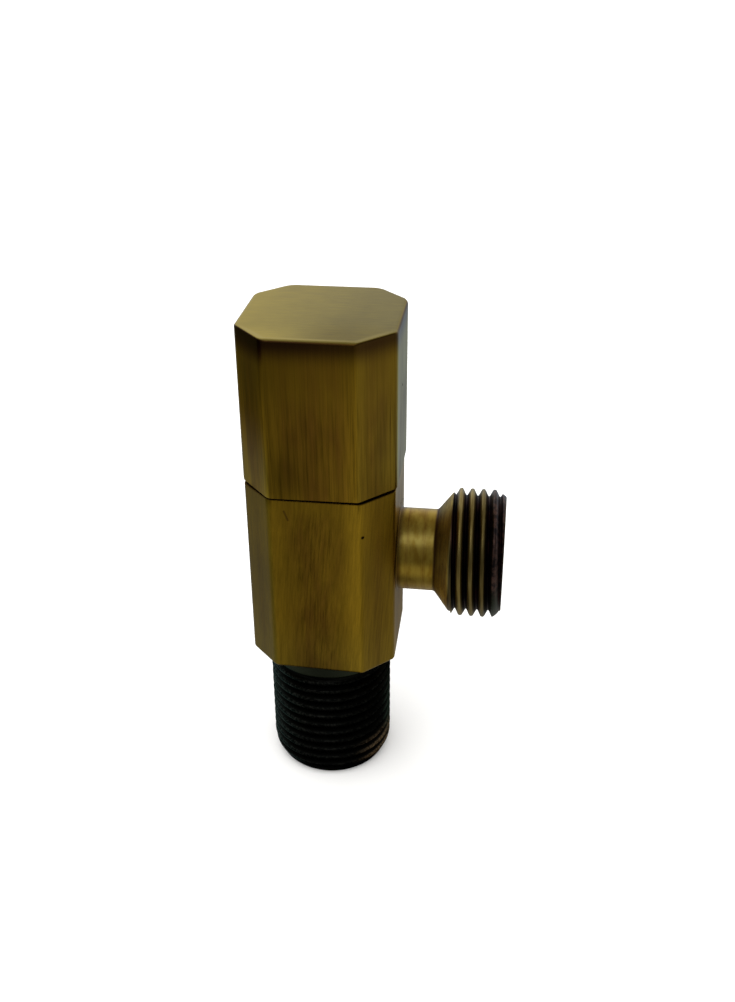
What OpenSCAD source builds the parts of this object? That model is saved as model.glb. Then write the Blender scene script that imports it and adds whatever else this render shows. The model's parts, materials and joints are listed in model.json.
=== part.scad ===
// Quarter-turn angle stop valve with an octagonal body and handle, drawn closed.
// Millimetres. Z is the valve axis, from the centre of the inlet's end face up to the handle.
// +X is the outlet's direction. Threads are drawn as concentric rings with the true
// major diameter, root diameter, flank angle and pitch.
// Name endings: _r radius, _z height, _z0 and _z1 lower and upper height, _t thickness,
// _h vertical extent, _x distance along X, _af width across flats.

/* [Handle] */
// Width of the handle across its flats
handle_af = 24.6; // [24.4:0.1:25.4]
// Leg of each corner chamfer of the handle
handle_leg = 5.3; // [5.0:0.1:5.8]
// Height of the handle's lower edge
handle_z0 = 56.75; // [56.7:0.05:57.2]
// Height of the handle's top face
handle_z1 = 82.8; // [82.6:0.1:85]
// Angle by which the handle's flats stand off the body's flats when closed
handle_skew = -0.6; // [-3:0.1:3]
// Quarter turn of the handle from closed to open
turn_deg = 90; // [90:5:95]

/* [Body] */
// Width of the body across its flats
body_af = 24.0; // [23.8:0.1:24.4]
// Leg of each corner chamfer of the body
body_leg = 4.8; // [4.3:0.1:5.2]
// Height of the body's underside
body_z0 = 24.6; // [24.4:0.1:25.2]
// Height of the body's top face
body_z1 = 56.5; // [56.5:0.1:56.6]

/* [Threads] */
// Outside radius of both pipe threads, G 1/2
pipe_r = 10.4775; // [10.4775:0.0001:10.4776]
// Pitch of both pipe threads, 14 to the inch
pipe_pitch = 1.814; // [1.814:0.001:1.815]
// Number of turns on the inlet
inlet_turns = 11; // [9:1:11]
// Number of full turns on the outlet
outlet_turns = 4; // [3:1:4]

/* [Waterways] */
// Radius of the inlet's bore
inlet_bore_r = 7.25; // [6.5:0.25:7.5]
// Radius of the outlet's bore
outlet_bore_r = 5.0; // [4.5:0.1:5.2]
// Radius of the hole through the seat web
seat_r = 4.5; // [4.0:0.1:4.6]

/* [Outlet] */
// Height of the outlet's axis
outlet_z = 42.0; // [41.6:0.1:42.2]
// Radius of the outlet's plain neck
outlet_neck_r = 6.75; // [6.5:0.05:7]
// Distance from the valve axis to the end of the plain neck
outlet_neck_x = 18.0; // [17.5:0.1:18.4]
// Distance from the valve axis to the end of the cone
outlet_cone_x = 20.8; // [20.6:0.1:20.9]
// Distance from the valve axis to the outlet's end face
outlet_end_x = 29.1; // [29.1:0.1:30]

/* [Headwork] */
// Width of the bonnet's hexagon across its flats
hex_af = 17; // [16:0.5:17]
// Radius of the spindle's shaft
shaft_r = 4.4; // [4.4:0.01:4.41]
// Running clearance of the shaft in the bonnet
run_gap = 0.05; // [0.03:0.01:0.08]
// Number of teeth on the spindle's spline
spline_teeth = 20; // [16:2:24]
// Thickness of each ceramic disc
disc_t = 3.0; // [3.0:0.1:3.1]

/* [Hidden] */
$fn = 96;
eps = 0.01; // small overlap between touching shapes
over = 1;   // how far a cut runs past the face it opens

// Depth of the pipe thread: 0.6403 of its pitch, with flanks at 27.5 degrees
pipe_root_r = pipe_r - 0.640327 * pipe_pitch;

// Stack inside the body, upwards: seat web, seal, fixed disc, moving disc, spindle flange
seat_z0 = 31.3;
seat_z = 34.3;
seal_t = 2.6;
seal_bore_r = 5.2;
fixed_z = seat_z + seal_t;
moving_z = fixed_z + disc_t;
moving_top = moving_z + disc_t;
flange_z = 46.7;
flange_top = flange_z + 2.0;

// Bonnet
skirt_z = 35.3;
skirt_r = 8.2;
shoulder_z = 49.5; // roof of the bonnet's inner chamber
hexagon_z = 57.5;
neck_z = 63.0;
neck_top = 66.8;
neck_r = 7.0;
seal_recess = 1.5; // depth of the body's counterbore round the bonnet

// Thread between bonnet and body
bonnet_r = 9.0;
bonnet_pitch = 1.0;
bonnet_depth = 0.6;
bonnet_turns = 6;
bonnet_thread_z = 48.3;
bonnet_ring_z = bonnet_thread_z + 0.2; // start of the first thread ring
thread_gap = 0.05;

// Shaft seals and their grooves
o_ring_r = 3.81;
o_ring_section = 0.62;
lower_seal_z = 53.3;
upper_seal_z = 57.3;

// Spindle top and the washers on it
tongue = [12, 2.4]; // length along X, width along Y
circlip_z = 68.25;  // underside of the circlip's groove
circlip_groove_r = 3.6;
spline_z0 = 69.9;
spline_z1 = 75.8;
spline_tip_r = 4.0;
spline_root_r = 3.6;
washer_gap = 0.08; // radial clearance of loose rings
washer_r = 5.4;
slide_t = 0.5;
key_flat = 3.9;    // distance of the stop washer's flats from the axis
key_gap = 0.03;
tab_half = 20;     // half angle of the stop washer's tab
stop_clear = 1;    // angle between tab and stop wall

// Adapter between spindle and handle, with its screw
adapter_r = 6.0;
adapter_z0 = 70.1;
adapter_z1 = 80.1;
adapter_web = 75.9;
adapter_web_top = 77.2;
adapter_flat = 5.5; // distance of the adapter's flat from the axis
lock_t = 0.8;
screw_r = 2.0;
screw_z0 = 66.3;

// Handle interior
boss_z = 68.5;
handle_bore_r = 10.3;
grub_z = 74.3;

// Diameter across the corners of a hexagon
function hex_corners(flats) = flats / cos(30);

// A square of width flats with its four corners cut by legs of length leg
function chamfered_square(flats, leg) = let (half = flats / 2, cut = half - leg)
    [[cut, half], [half, cut], [half, -cut], [cut, -half],
     [-cut, -half], [-half, -cut], [-half, cut], [-cut, half]];

// [radius, height] points of thread rings, each one pitch high: root, flank, crest, flank
function ring_points(count, z, pitch, crest, root) = [for (i = [0 : count - 1])
    each [[root, z + i * pitch], [root, z + (i + 1/12) * pitch],
          [crest, z + (i + 5/12) * pitch], [crest, z + (i + 7/12) * pitch],
          [root, z + (i + 11/12) * pitch]]];

// Thread rings shared by bonnet and body, grown outwards by gap
function bonnet_rings(gap) = ring_points(bonnet_turns, bonnet_ring_z, bonnet_pitch,
    bonnet_r + gap, bonnet_r + gap - bonnet_depth);

// Outline of the serrated spline, grown outwards by gap
function spline_points(gap) = [for (i = [0 : 2 * spline_teeth - 1])
    let (radius = (i % 2 == 0 ? spline_tip_r : spline_root_r) + gap,
         angle = i * 180 / spline_teeth)
    radius * [cos(angle), sin(angle)]];

// Sector of a disc between two angles
module sector(radius, start, end) {
    steps = 12;
    far = radius / cos((end - start) / (2 * steps)) * 1.05;
    intersection() {
        circle(r = radius);
        polygon(concat([[0, 0]], [for (i = [0 : steps])
            let (angle = start + (end - start) * i / steps) far * [cos(angle), sin(angle)]]));
    }
}

// Upright cylinder on the valve axis
module rod(z, height, radius) {
    translate([0, 0, z]) cylinder(r = radius, h = height);
}

// Octagonal prism on the valve axis
module octagon(z0, z1, flats, leg) {
    translate([0, 0, z0]) linear_extrude(z1 - z0) polygon(chamfered_square(flats, leg));
}

// Flat ring from height z, between two radii
module ring(z, height, inner, outer) {
    translate([0, 0, z]) rotate_extrude() translate([inner, 0]) square([outer - inner, height]);
}

// Ring of round section, centred on a radius at height z
module o_ring(z, radius, section) {
    translate([0, 0, z]) rotate_extrude() translate([radius, 0]) circle(r = section, $fn = 48);
}

// Children placed at an angle about Z and again opposite
module opposite(angle = 0) {
    for (a = [angle, angle + 180]) rotate([0, 0, a]) children();
}

// Children with their Z turned to +X, at distance x on the outlet's axis
module on_outlet(x) {
    translate([x, 0, outlet_z]) rotate([0, 90, 0]) children();
}

// Forged body: octagonal barrel, inlet spigot and outlet spigot in one piece
module valve_body() color([0.45, 0.36, 0.13]) difference() {
    union() {
        octagon(body_z0, body_z1, body_af, body_leg);
        inlet_spigot();
        on_outlet(0) outlet_spigot();
    }
    body_cavity();
    outlet_waterway();
}

// Threaded inlet below the body, with a chamfered end and a plain neck
module inlet_spigot() {
    first_crest_z = 1.6;
    end_r = 9.25;
    runout = 0.6;
    z0 = first_crest_z - pipe_pitch / 2;
    z1 = z0 + inlet_turns * pipe_pitch;
    rotate_extrude() polygon(concat(
        [[0, 0], [end_r, 0], [pipe_root_r, z0 - eps]],
        ring_points(inlet_turns, z0, pipe_pitch, pipe_r, pipe_root_r),
        [[pipe_root_r, z1], [pipe_r, z1 + runout], [pipe_r, body_z0 + 1], [0, body_z0 + 1]]));
}

// Outlet spigot along its own Z: neck, cone, threaded end
module outlet_spigot() {
    start = 5;
    cone_r = 10.0;
    last_rib_r = 9.75; // low rib between the last full turn and the end face
    x0 = outlet_cone_x + 0.5;
    x1 = x0 + outlet_turns * pipe_pitch;
    rotate_extrude() polygon(concat(
        [[0, start], [outlet_neck_r, start], [outlet_neck_r, outlet_neck_x],
         [cone_r, outlet_cone_x], [cone_r, outlet_cone_x + 0.1]],
        ring_points(outlet_turns, x0, pipe_pitch, pipe_r, pipe_root_r),
        [[pipe_root_r, x1 + 0.1], [last_rib_r, x1 + 0.3],
         [pipe_root_r, outlet_end_x], [0, outlet_end_x]]));
}

// Space inside the body on the valve axis
module body_cavity() {
    chamber_r = 8.6;
    counterbore_r = 10.3;
    counterbore_z = body_z1 - seal_recess;
    // inlet bore
    rod(-over, seat_z0 + over, inlet_bore_r);
    // hole through the seat web
    rod(seat_z0 - over, seat_z - seat_z0 + 2 * over, seat_r);
    // chamber for the headwork
    rod(seat_z, bonnet_thread_z - seat_z + eps, chamber_r);
    // female thread for the bonnet
    rotate_extrude() polygon(concat(
        [[0, bonnet_thread_z - eps],
         [bonnet_r - bonnet_depth + thread_gap + 0.2, bonnet_thread_z - eps]],
        bonnet_rings(thread_gap),
        [[bonnet_r + thread_gap, counterbore_z + eps], [0, counterbore_z + eps]]));
    // counterbore for the bonnet's sealing ring
    rod(counterbore_z, 2, counterbore_r);
}

// Outlet bore, with a chamfer at its mouth
module outlet_waterway() {
    bore_start_x = 6;
    chamfer = 0.5;
    on_outlet(bore_start_x) cylinder(r = outlet_bore_r, h = outlet_end_x);
    on_outlet(outlet_end_x - chamfer + eps)
        cylinder(r1 = outlet_bore_r, r2 = outlet_bore_r + chamfer, h = chamfer);
}

// Hollow octagonal handle, turned out from below
module handle() {
    top_t = 2.4;
    tapped_r = 2.5;
    color([0.47, 0.39, 0.17]) rotate([0, 0, handle_skew]) difference() {
        octagon(handle_z0, handle_z1, handle_af, handle_leg);
        rod(handle_z0 - over, boss_z - handle_z0 + over, handle_bore_r);
        rod(boss_z - over, handle_z1 - top_t - boss_z + over, adapter_r + 0.05);
        // tapped hole for the grub screw in the +Y face
        translate([0, 0, grub_z]) rotate([-90, 0, 0]) cylinder(r = tapped_r, h = 20);
    }
}

// Socket grub screw that holds the handle on its adapter, its own Z along +Y
module grub_screw() {
    radius = 2.45;
    tip = 0.6;
    shank = 4.9;
    socket_af = 2.5;
    socket_floor = 3.4;
    color([0.25, 0.25, 0.26]) rotate([0, 0, handle_skew])
        translate([0, adapter_flat, grub_z]) rotate([-90, 0, 0]) difference() {
            union() {
                cylinder(r1 = 1.9, r2 = radius, h = tip);
                rod(tip, shank, radius);
                translate([0, 0, tip + shank]) cylinder(r1 = radius, r2 = 2.1, h = 0.4);
            }
            translate([0, 0, socket_floor]) cylinder(d = hex_corners(socket_af), h = 4, $fn = 6);
            // hollow in the tip
            translate([0, 0, -eps]) cylinder(r1 = 1.3, r2 = 0.4, h = 0.7);
        }
}

// Sleeve with an internal spline, between the spindle and the handle
module spline_adapter() {
    screw_hole_r = 2.15;
    head_recess_r = 4.3;
    color([0.85, 0.84, 0.78]) rotate([0, 0, handle_skew]) difference() {
        rod(adapter_z0, adapter_z1 - adapter_z0, adapter_r);
        translate([0, 0, adapter_z0 - over]) linear_extrude(adapter_web - adapter_z0 + over)
            polygon(spline_points(0.05));
        rod(adapter_web - over, 4, screw_hole_r);
        rod(adapter_web_top, 4, head_recess_r);
        // flat for the grub screw
        translate([-7, adapter_flat, adapter_z0 - over]) cube([14, 4, 12]);
    }
}

// Pan head screw that holds the adapter down on the spindle
module adapter_screw() {
    tip = 0.6;
    head_z = adapter_web_top + lock_t;
    head_h = 1.9;
    head_r = 3.6;
    dome_r = 5.3;
    slot = [3.8, 0.8, 3];
    slot_floor = adapter_web_top + 1.5;
    color([0.7, 0.7, 0.72]) difference() {
        union() {
            translate([0, 0, screw_z0]) cylinder(r1 = 1.5, r2 = screw_r, h = tip);
            rod(screw_z0 + tip, 11.2, screw_r);
            intersection() {
                rod(head_z, head_h, head_r);
                translate([0, 0, head_z + head_h - dome_r]) sphere(r = dome_r);
            }
        }
        // cross recess
        for (a = [45, 135]) rotate([0, 0, a])
            translate([-slot[0] / 2, -slot[1] / 2, slot_floor]) cube(slot);
    }
}

// Split spring washer under the screw's head
module lock_washer() {
    split = 0.4;
    color([0.55, 0.55, 0.57]) difference() {
        ring(adapter_web_top, lock_t, 2.1, 3.7);
        translate([0, 0, adapter_web_top + lock_t / 2]) rotate([30, 0, 0])
            translate([0, -split / 2, -2]) cube([5, split, 4]);
    }
}

// Plastic bush that centres the handle's lower end on the bonnet
module guide_bush() {
    bush_z = 63.7;
    groove_floor = 9.7;
    color([0.9, 0.9, 0.88]) difference() {
        ring(bush_z, boss_z - bush_z - 0.05, neck_r + washer_gap, handle_bore_r - 0.02);
        // three relief grooves on the outside
        for (i = [0 : 2]) rotate([0, 0, i * 120 + 60])
            translate([groove_floor, -1, bush_z - 0.4]) cube([2, 2, 6]);
    }
}

// Headwork housing: slotted skirt, male thread, flange, hexagon and neck with turning stops
module bonnet() color([0.72, 0.62, 0.32]) difference() {
    bonnet_outside();
    bonnet_cuts();
}

module bonnet_outside() {
    root_r = bonnet_r - bonnet_depth;
    undercut_r = 8.7;
    flange_r = 10.0;
    hexagon_h = neck_z - hexagon_z;
    stop_wall_h = 1.4;
    stop_wall_bore_r = 5.6;
    // skirt, thread and undercut
    rotate_extrude() polygon(concat(
        [[0, skirt_z], [skirt_r, skirt_z], [skirt_r, bonnet_thread_z - 0.2],
         [root_r, bonnet_thread_z]],
        bonnet_rings(0),
        [[root_r, bonnet_ring_z + bonnet_turns * bonnet_pitch],
         [undercut_r, body_z1 - seal_recess], [undercut_r, body_z1], [0, body_z1]]));
    // flange on the body's top face
    rod(body_z1, hexagon_z - body_z1, flange_r);
    // hexagon with its upper corners turned off by a cone
    intersection() {
        translate([0, 0, hexagon_z - eps])
            cylinder(d = hex_corners(hex_af), h = hexagon_h + eps, $fn = 6);
        translate([0, 0, hexagon_z - 1]) cylinder(r1 = 18.25, r2 = 8.6, h = hexagon_h + 1);
    }
    rod(neck_z - eps, neck_top - neck_z + eps, neck_r);
    // stop wall, open over the quarter turn
    translate([0, 0, neck_top - eps]) linear_extrude(stop_wall_h) difference() {
        sector(neck_r, turn_deg + tab_half + stop_clear, 360 - tab_half - stop_clear);
        circle(r = stop_wall_bore_r);
    }
}

module bonnet_cuts() {
    chamber_r = 7.5;
    window_w = 10;
    window_gap = 0.2; // window edges' distance from moving disc and spindle flange
    slot_w = 3.1;
    // shaft bore and the chamber for flange and discs
    rod(shoulder_z - over, 30, shaft_r + run_gap);
    rod(skirt_z - over, shoulder_z - skirt_z + over, chamber_r);
    // two windows that let water out to the chamber
    opposite() translate([5, -window_w / 2, moving_top + window_gap])
        cube([6, window_w, flange_z - moving_top - 2 * window_gap]);
    // two slots that keep the fixed disc from turning
    opposite(90) translate([5, -slot_w / 2, skirt_z - over])
        cube([6, slot_w, moving_z - skirt_z + over + 0.1]);
}

// Ring that seals the bonnet in the body's counterbore
module bonnet_o_ring() color([0.08, 0.08, 0.08]) o_ring(body_z1 - 0.76, 9.5, 0.74);

// [radius, height] points of a rectangular groove in the shaft
function shaft_groove(z0, z1, floor_r) =
    [[shaft_r, z0], [floor_r, z0], [floor_r, z1], [shaft_r, z1]];

// Groove for a shaft seal centred at height z
function seal_groove(z) = shaft_groove(z - 0.95, z + 0.95, o_ring_r - o_ring_section);

// Brass spindle: drive tongue, flange, shaft with grooves, flats and serrated top
module spindle() {
    tongue_z = moving_top - 1.0;
    flange_r = 7.2;
    chamfer = 0.3;
    color([0.75, 0.65, 0.35]) difference() {
        union() {
            translate([-tongue[0] / 2, -tongue[1] / 2, tongue_z])
                cube([tongue[0], tongue[1], flange_z - tongue_z + eps]);
            rotate_extrude() polygon(concat(
                [[0, flange_z], [flange_r, flange_z], [flange_r, flange_top],
                 [shaft_r, flange_top]],
                seal_groove(lower_seal_z),
                seal_groove(upper_seal_z),
                shaft_groove(circlip_z, circlip_z + 0.9, circlip_groove_r),
                [[shaft_r, spline_z0 - chamfer], [shaft_r - chamfer, spline_z0],
                 [0, spline_z0]]));
            rotate([0, 0, handle_skew]) translate([0, 0, spline_z0 - eps])
                linear_extrude(spline_z1 - spline_z0 + eps) polygon(spline_points(0));
        }
        // tapped hole for the adapter's screw
        rod(screw_z0 - 1, 20, screw_r + 0.03);
        // two flats that key the stop washer
        opposite() translate([-6, key_flat, neck_top + slide_t]) cube([12, 2, 0.95]);
    }
}

// Retaining ring in the spindle's top groove
module circlip() {
    ring_z = circlip_z + 0.05;
    ring_t = 0.8;
    lug_angles = [-28, 28];
    gap_half = 14; // half angle of the opening
    color([0.35, 0.35, 0.37]) difference() {
        union() {
            ring(ring_z, ring_t, circlip_groove_r + 0.02, 5.2);
            for (a = lug_angles) rotate([0, 0, a])
                translate([4.7, 0, ring_z]) cylinder(r = 0.9, h = ring_t);
        }
        translate([0, 0, circlip_z - over]) linear_extrude(3) sector(8, -gap_half, gap_half);
        // holes in the lugs
        for (a = lug_angles) rotate([0, 0, a])
            translate([4.75, 0, circlip_z - over]) cylinder(r = 0.4, h = 3);
    }
}

// Keyed washer whose tab meets the bonnet's stop wall at each end of the quarter turn
module stop_washer() {
    tab_r = 6.8;
    color([0.6, 0.6, 0.62]) translate([0, 0, neck_top + slide_t + 0.05])
        linear_extrude(0.8) difference() {
            union() {
                circle(r = washer_r);
                sector(tab_r, -tab_half, tab_half);
            }
            intersection() {
                circle(r = shaft_r + key_gap);
                square([12, 2 * (key_flat + key_gap)], center = true);
            }
        }
}

// Thin washer between the bonnet's neck and the turning stop washer
module slide_washer() color([0.8, 0.7, 0.4])
    ring(neck_top, slide_t, shaft_r + washer_gap, washer_r);

// Plastic washer between the spindle's flange and the bonnet's shoulder
module thrust_washer() color([0.93, 0.93, 0.9])
    ring(flange_top + 0.05, shoulder_z - flange_top - 0.05, shaft_r + washer_gap, 7.3);

// Shaft seals
module upper_o_ring() color([0.08, 0.08, 0.08]) o_ring(upper_seal_z, o_ring_r, o_ring_section);
module lower_o_ring() color([0.08, 0.08, 0.08]) o_ring(lower_seal_z, o_ring_r, o_ring_section);

// Two opposite openings of 80 degrees through the disc at height z
module disc_openings(z, angle) {
    half = 40;
    translate([0, 0, z - over]) for (a = [angle, angle + 180])
        linear_extrude(disc_t + 2 * over) difference() {
            sector(4.4, a - half, a + half);
            circle(r = 2.0);
        }
}

// Upper ceramic disc, turned by the spindle's tongue
module moving_disc() {
    slot = tongue + [0.4, 0.1];
    color([0.93, 0.93, 0.93]) difference() {
        rod(moving_z, disc_t, 7.3);
        disc_openings(moving_z, 90);
        translate([-slot[0] / 2, -slot[1] / 2, moving_top - 1.1]) cube([slot[0], slot[1], 3]);
    }
}

// Lower ceramic disc, held by two ears in the bonnet's slots
module fixed_disc() {
    ear_w = 3;
    ear_reach = skirt_r - 0.1;
    color([0.95, 0.95, 0.95]) difference() {
        union() {
            rod(fixed_z, disc_t, 7.35);
            translate([-ear_w / 2, -ear_reach, fixed_z]) cube([ear_w, 2 * ear_reach, disc_t]);
        }
        disc_openings(fixed_z, 0);
    }
}

// Rubber seal between the seat and the fixed disc, with a groove round its edge
module base_seal() color([0.1, 0.1, 0.1]) difference() {
    ring(seat_z, seal_t, seal_bore_r, 7.4);
    ring(seat_z + 0.9, 0.8, 7.0, 7.6);
}

// Stiff ring that keeps the rubber seal from folding inwards
module seal_support_ring() color([0.9, 0.88, 0.8])
    ring(seat_z + 0.1, seal_t - 0.2, 4.5, seal_bore_r);

valve_body();
handle();
grub_screw();
spline_adapter();
adapter_screw();
lock_washer();
guide_bush();
bonnet();
bonnet_o_ring();
spindle();
circlip();
stop_washer();
slide_washer();
thrust_washer();
upper_o_ring();
lower_o_ring();
moving_disc();
fixed_disc();
base_seal();
seal_support_ring();
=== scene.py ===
"""Looks of an angle stop valve: two octagonal brass shells over CAD parts, on a pale studio floor.

The valve stands upright on Z. Its blackened inlet thread points down, its outlet along +X (right),
and the handle sits on top of the body. The front is -Y. Sizes are in mm, scaled to metres by MM.
"""
import json
import math
from types import SimpleNamespace
import bmesh
import bpy
import numpy as np
from mathutils import Matrix, Vector


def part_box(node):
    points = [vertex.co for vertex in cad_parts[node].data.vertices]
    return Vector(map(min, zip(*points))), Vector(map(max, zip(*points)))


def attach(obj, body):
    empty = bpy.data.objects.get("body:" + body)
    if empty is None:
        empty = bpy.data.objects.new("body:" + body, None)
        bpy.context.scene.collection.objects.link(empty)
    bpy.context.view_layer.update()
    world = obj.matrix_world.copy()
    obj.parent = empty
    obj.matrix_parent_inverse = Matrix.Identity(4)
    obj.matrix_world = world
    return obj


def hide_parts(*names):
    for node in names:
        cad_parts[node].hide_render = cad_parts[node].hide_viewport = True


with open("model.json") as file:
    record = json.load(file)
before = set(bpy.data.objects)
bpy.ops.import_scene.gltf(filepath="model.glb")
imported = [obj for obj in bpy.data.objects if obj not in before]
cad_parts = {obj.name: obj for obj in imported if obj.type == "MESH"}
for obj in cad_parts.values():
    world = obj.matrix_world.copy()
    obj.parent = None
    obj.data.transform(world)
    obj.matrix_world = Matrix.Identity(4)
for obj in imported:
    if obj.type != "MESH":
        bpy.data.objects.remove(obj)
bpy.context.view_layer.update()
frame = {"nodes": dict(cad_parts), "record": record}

TAU = 2 * math.pi
QUARTER = math.pi / 2
MM = 0.001

# ------------------------------------------------------------------ sizes
# HALF is half the width across the wide flats, CUT the length a cut corner takes off each flat.
body_lo, body_hi = [np.array(corner) * 1000 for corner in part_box("valve_body")]
hand_lo, hand_hi = [np.array(corner) * 1000 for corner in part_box("handle")]
BODY_HALF, BODY_CUT = float(-body_lo[0]), 4.8
BODY_LOW, BODY_TOP = 24.6, float(body_hi[2])
END_X = float(body_hi[0])  # the outlet's end face
OUT_Z = 42.0  # height of the outlet's axis
NECK_R, NECK_X = 6.75, 18.1  # the outlet's plain neck, and where its cone begins
HAND_HALF, HAND_CUT = 12.3, 5.3
HAND_LOW, HAND_TOP = float(hand_lo[2]), float(hand_hi[2])
HAND_TURN = math.radians(-0.6)  # the handle is a little askew about Z
THREAD_R, PITCH = 10.4775, 1.814  # crest radius and pitch of both outer threads
FEMALE_LOW, FEMALE_TOP = 48.3, 54.8

# Radii of the upright edges, anticlockwise from the one at -22.5 degrees.
BODY_RADII = [1.25, 1.25, 1.25, 1.25, 1.25, 1.6, 1.9, 1.25]
HAND_RADII = [1.5, 2.4, 3.4, 3.4, 2.4, 2.0, 1.9, 1.3]
WIDE_STEPS, NARROW_STEPS, CORNER_STEPS = 22, 8, 6  # divisions of an octagon's faces and corners

# Surface hollows: centre x, y, z, radius, then stretch along x, y, z.
BODY_PITS = [
    (7.42, -11.72, 50.6, 0.24, 1.0, 1.0, 0.7),
    (12.02, 1.45, 49.65, 0.30, 0.6, 1.1, 0.8),
    (12.02, 5.7, 47.8, 0.34, 0.6, 1.2, 0.8),
    (12.02, 3.6, 49.1, 0.20, 0.6, 1.0, 1.0),
]
HAND_PITS = [(12.3, -0.9, 71.9, 0.26, 0.6, 1.0, 1.0)]


# ------------------------------------------------------------------ mesh building
class Shell:
    """Collects rings of points in mm and the faces between them."""

    def __init__(self):
        self.points, self.faces, self.count = [], [], 0

    def ring(self, points):
        points = np.asarray(points, float)
        self.points.append(points)
        ids = np.arange(self.count, self.count + len(points))
        self.count += len(points)
        return ids

    def strip(self, lower, upper, skip=()):
        """Quads between two rings of the same count, each running anticlockwise."""
        for i in range(len(lower)):
            j = (i + 1) % len(lower)
            if i not in skip:
                self.faces.append((int(lower[i]), int(lower[j]), int(upper[j]), int(upper[i])))

    def loft(self, rings, skip=(), inward=False):
        for first, second in zip(rings, rings[1:]):
            if inward:
                first, second = second, first
            self.strip(first, second, skip)

    def fan(self, ring, centre, flip=False):
        hub = int(self.ring([centre])[0])
        for i in range(len(ring)):
            a, b = int(ring[i]), int(ring[(i + 1) % len(ring)])
            self.faces.append((b, a, hub) if flip else (a, b, hub))

    def to_mesh(self, name):
        mesh = bpy.data.meshes.new(name)
        mesh.from_pydata((np.vstack(self.points) * MM).tolist(), [], self.faces)
        merge_points(mesh, 2e-4 * MM, recalc=True)
        return mesh


def merge_points(mesh, distance, recalc=False):
    bm = bmesh.new()
    bm.from_mesh(mesh)
    bmesh.ops.remove_doubles(bm, verts=bm.verts, dist=distance)
    bmesh.ops.dissolve_degenerate(bm, edges=bm.edges, dist=distance)
    if recalc:
        bmesh.ops.recalc_face_normals(bm, faces=bm.faces)
    bm.to_mesh(mesh)
    bm.free()


def new_object(name, data):
    obj = bpy.data.objects.new(name, data)
    bpy.context.scene.collection.objects.link(obj)
    return obj


def cut(obj, cutters):
    """Exact boolean difference, applied. The cutters are deleted."""
    for cutter in cutters:
        mod = obj.modifiers.new("cut", "BOOLEAN")
        mod.operation, mod.solver, mod.object = "DIFFERENCE", "EXACT", cutter
    graph = bpy.context.evaluated_depsgraph_get()
    result = bpy.data.meshes.new_from_object(obj.evaluated_get(graph), depsgraph=graph)
    obj.modifiers.clear()
    old = obj.data
    obj.data = result
    bpy.data.meshes.remove(old)
    for cutter in cutters:
        mesh = cutter.data
        bpy.data.objects.remove(cutter)
        bpy.data.meshes.remove(mesh)
    merge_points(obj.data, 1e-7)


def shade(obj):
    """Smooth faces with sharp creases. Area-weighted normals keep flats flat beside round edges."""
    obj.data.shade_smooth()
    obj.data.set_sharp_from_angle(angle=math.radians(34))
    mod = obj.modifiers.new("weighted", "WEIGHTED_NORMAL")
    mod.mode, mod.weight, mod.keep_sharp = "FACE_AREA", 80, True


def oct_ring(half, leg, radii, inset, z):
    """Rounded octagon (a square with cut corners), moved in by inset, at height z."""
    apothems = (half - inset, (2 * half - leg) / math.sqrt(2) - inset)
    corners = []
    for k in range(8):
        radius = max(radii[k] - inset, 0.05)
        a0, a1 = math.radians(45 * (k - 1)), math.radians(45 * k)
        n0, n1 = np.array([math.cos(a0), math.sin(a0)]), np.array([math.cos(a1), math.sin(a1)])
        sides = np.array([apothems[(k - 1) % 2], apothems[k % 2]])
        tip = np.linalg.solve(np.array([n0, n1]), sides)
        centre = tip - radius * (n0 + n1) / (1 + math.cos(math.radians(45)))
        turns = [a0 + (a1 - a0) * j / CORNER_STEPS for j in range(CORNER_STEPS + 1)]
        corners.append([centre + radius * np.array([math.cos(a), math.sin(a)]) for a in turns])
    points = []
    for k in range(8):
        points += corners[k]
        start, end = corners[k][-1], corners[(k + 1) % 8][0]
        steps = WIDE_STEPS if k % 2 == 0 else NARROW_STEPS
        points += [start + (end - start) * j / steps for j in range(1, steps)]
    points = np.array(points)
    return np.c_[points, np.full(len(points), z)]


def ring_angles(outline):
    return np.unwrap(np.arctan2(outline[:, 1], outline[:, 0]))


def around_z(angles, radius, z):
    return np.c_[radius * np.cos(angles), radius * np.sin(angles), np.full(len(angles), z)]


def around_outlet(angles, radius, x):
    """Circle about the outlet's axis. Angles run from +Y towards +Z."""
    across, height = radius * np.cos(angles), OUT_Z + radius * np.sin(angles)
    return np.c_[np.full(len(angles), x), across, height]


# Outer thread: rounded crest, sloping flanks, narrow root.
# Distance from the crest in pitches, and depth below it in mm.
FORM_ACROSS = [0.0, 0.05, 0.085, 0.115, 0.14, 0.165, 0.20, 0.42, 0.45, 0.475, 0.50]
FORM_DEPTH = [0.0, 0.006, 0.022, 0.050, 0.088, 0.140, 0.255, 1.022, 1.095, 1.135, 1.150]
HALF_SAMPLES = FORM_ACROSS + [0.31]  # one more on the long flank
FORM_SAMPLES = sorted(set(HALF_SAMPLES + [1 - s for s in HALF_SAMPLES if 0 < s < 0.5]))
FEMALE_SAMPLES = [0.0, 0.06, 0.28, 0.46, 0.54, 0.72, 0.94]


def from_crest(turns):
    """Distance from the nearest crest, in pitches."""
    return np.abs((turns + 0.5) % 1.0 - 0.5)


def thread_depth(turns):
    return np.interp(from_crest(turns), FORM_ACROSS, FORM_DEPTH)


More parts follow.
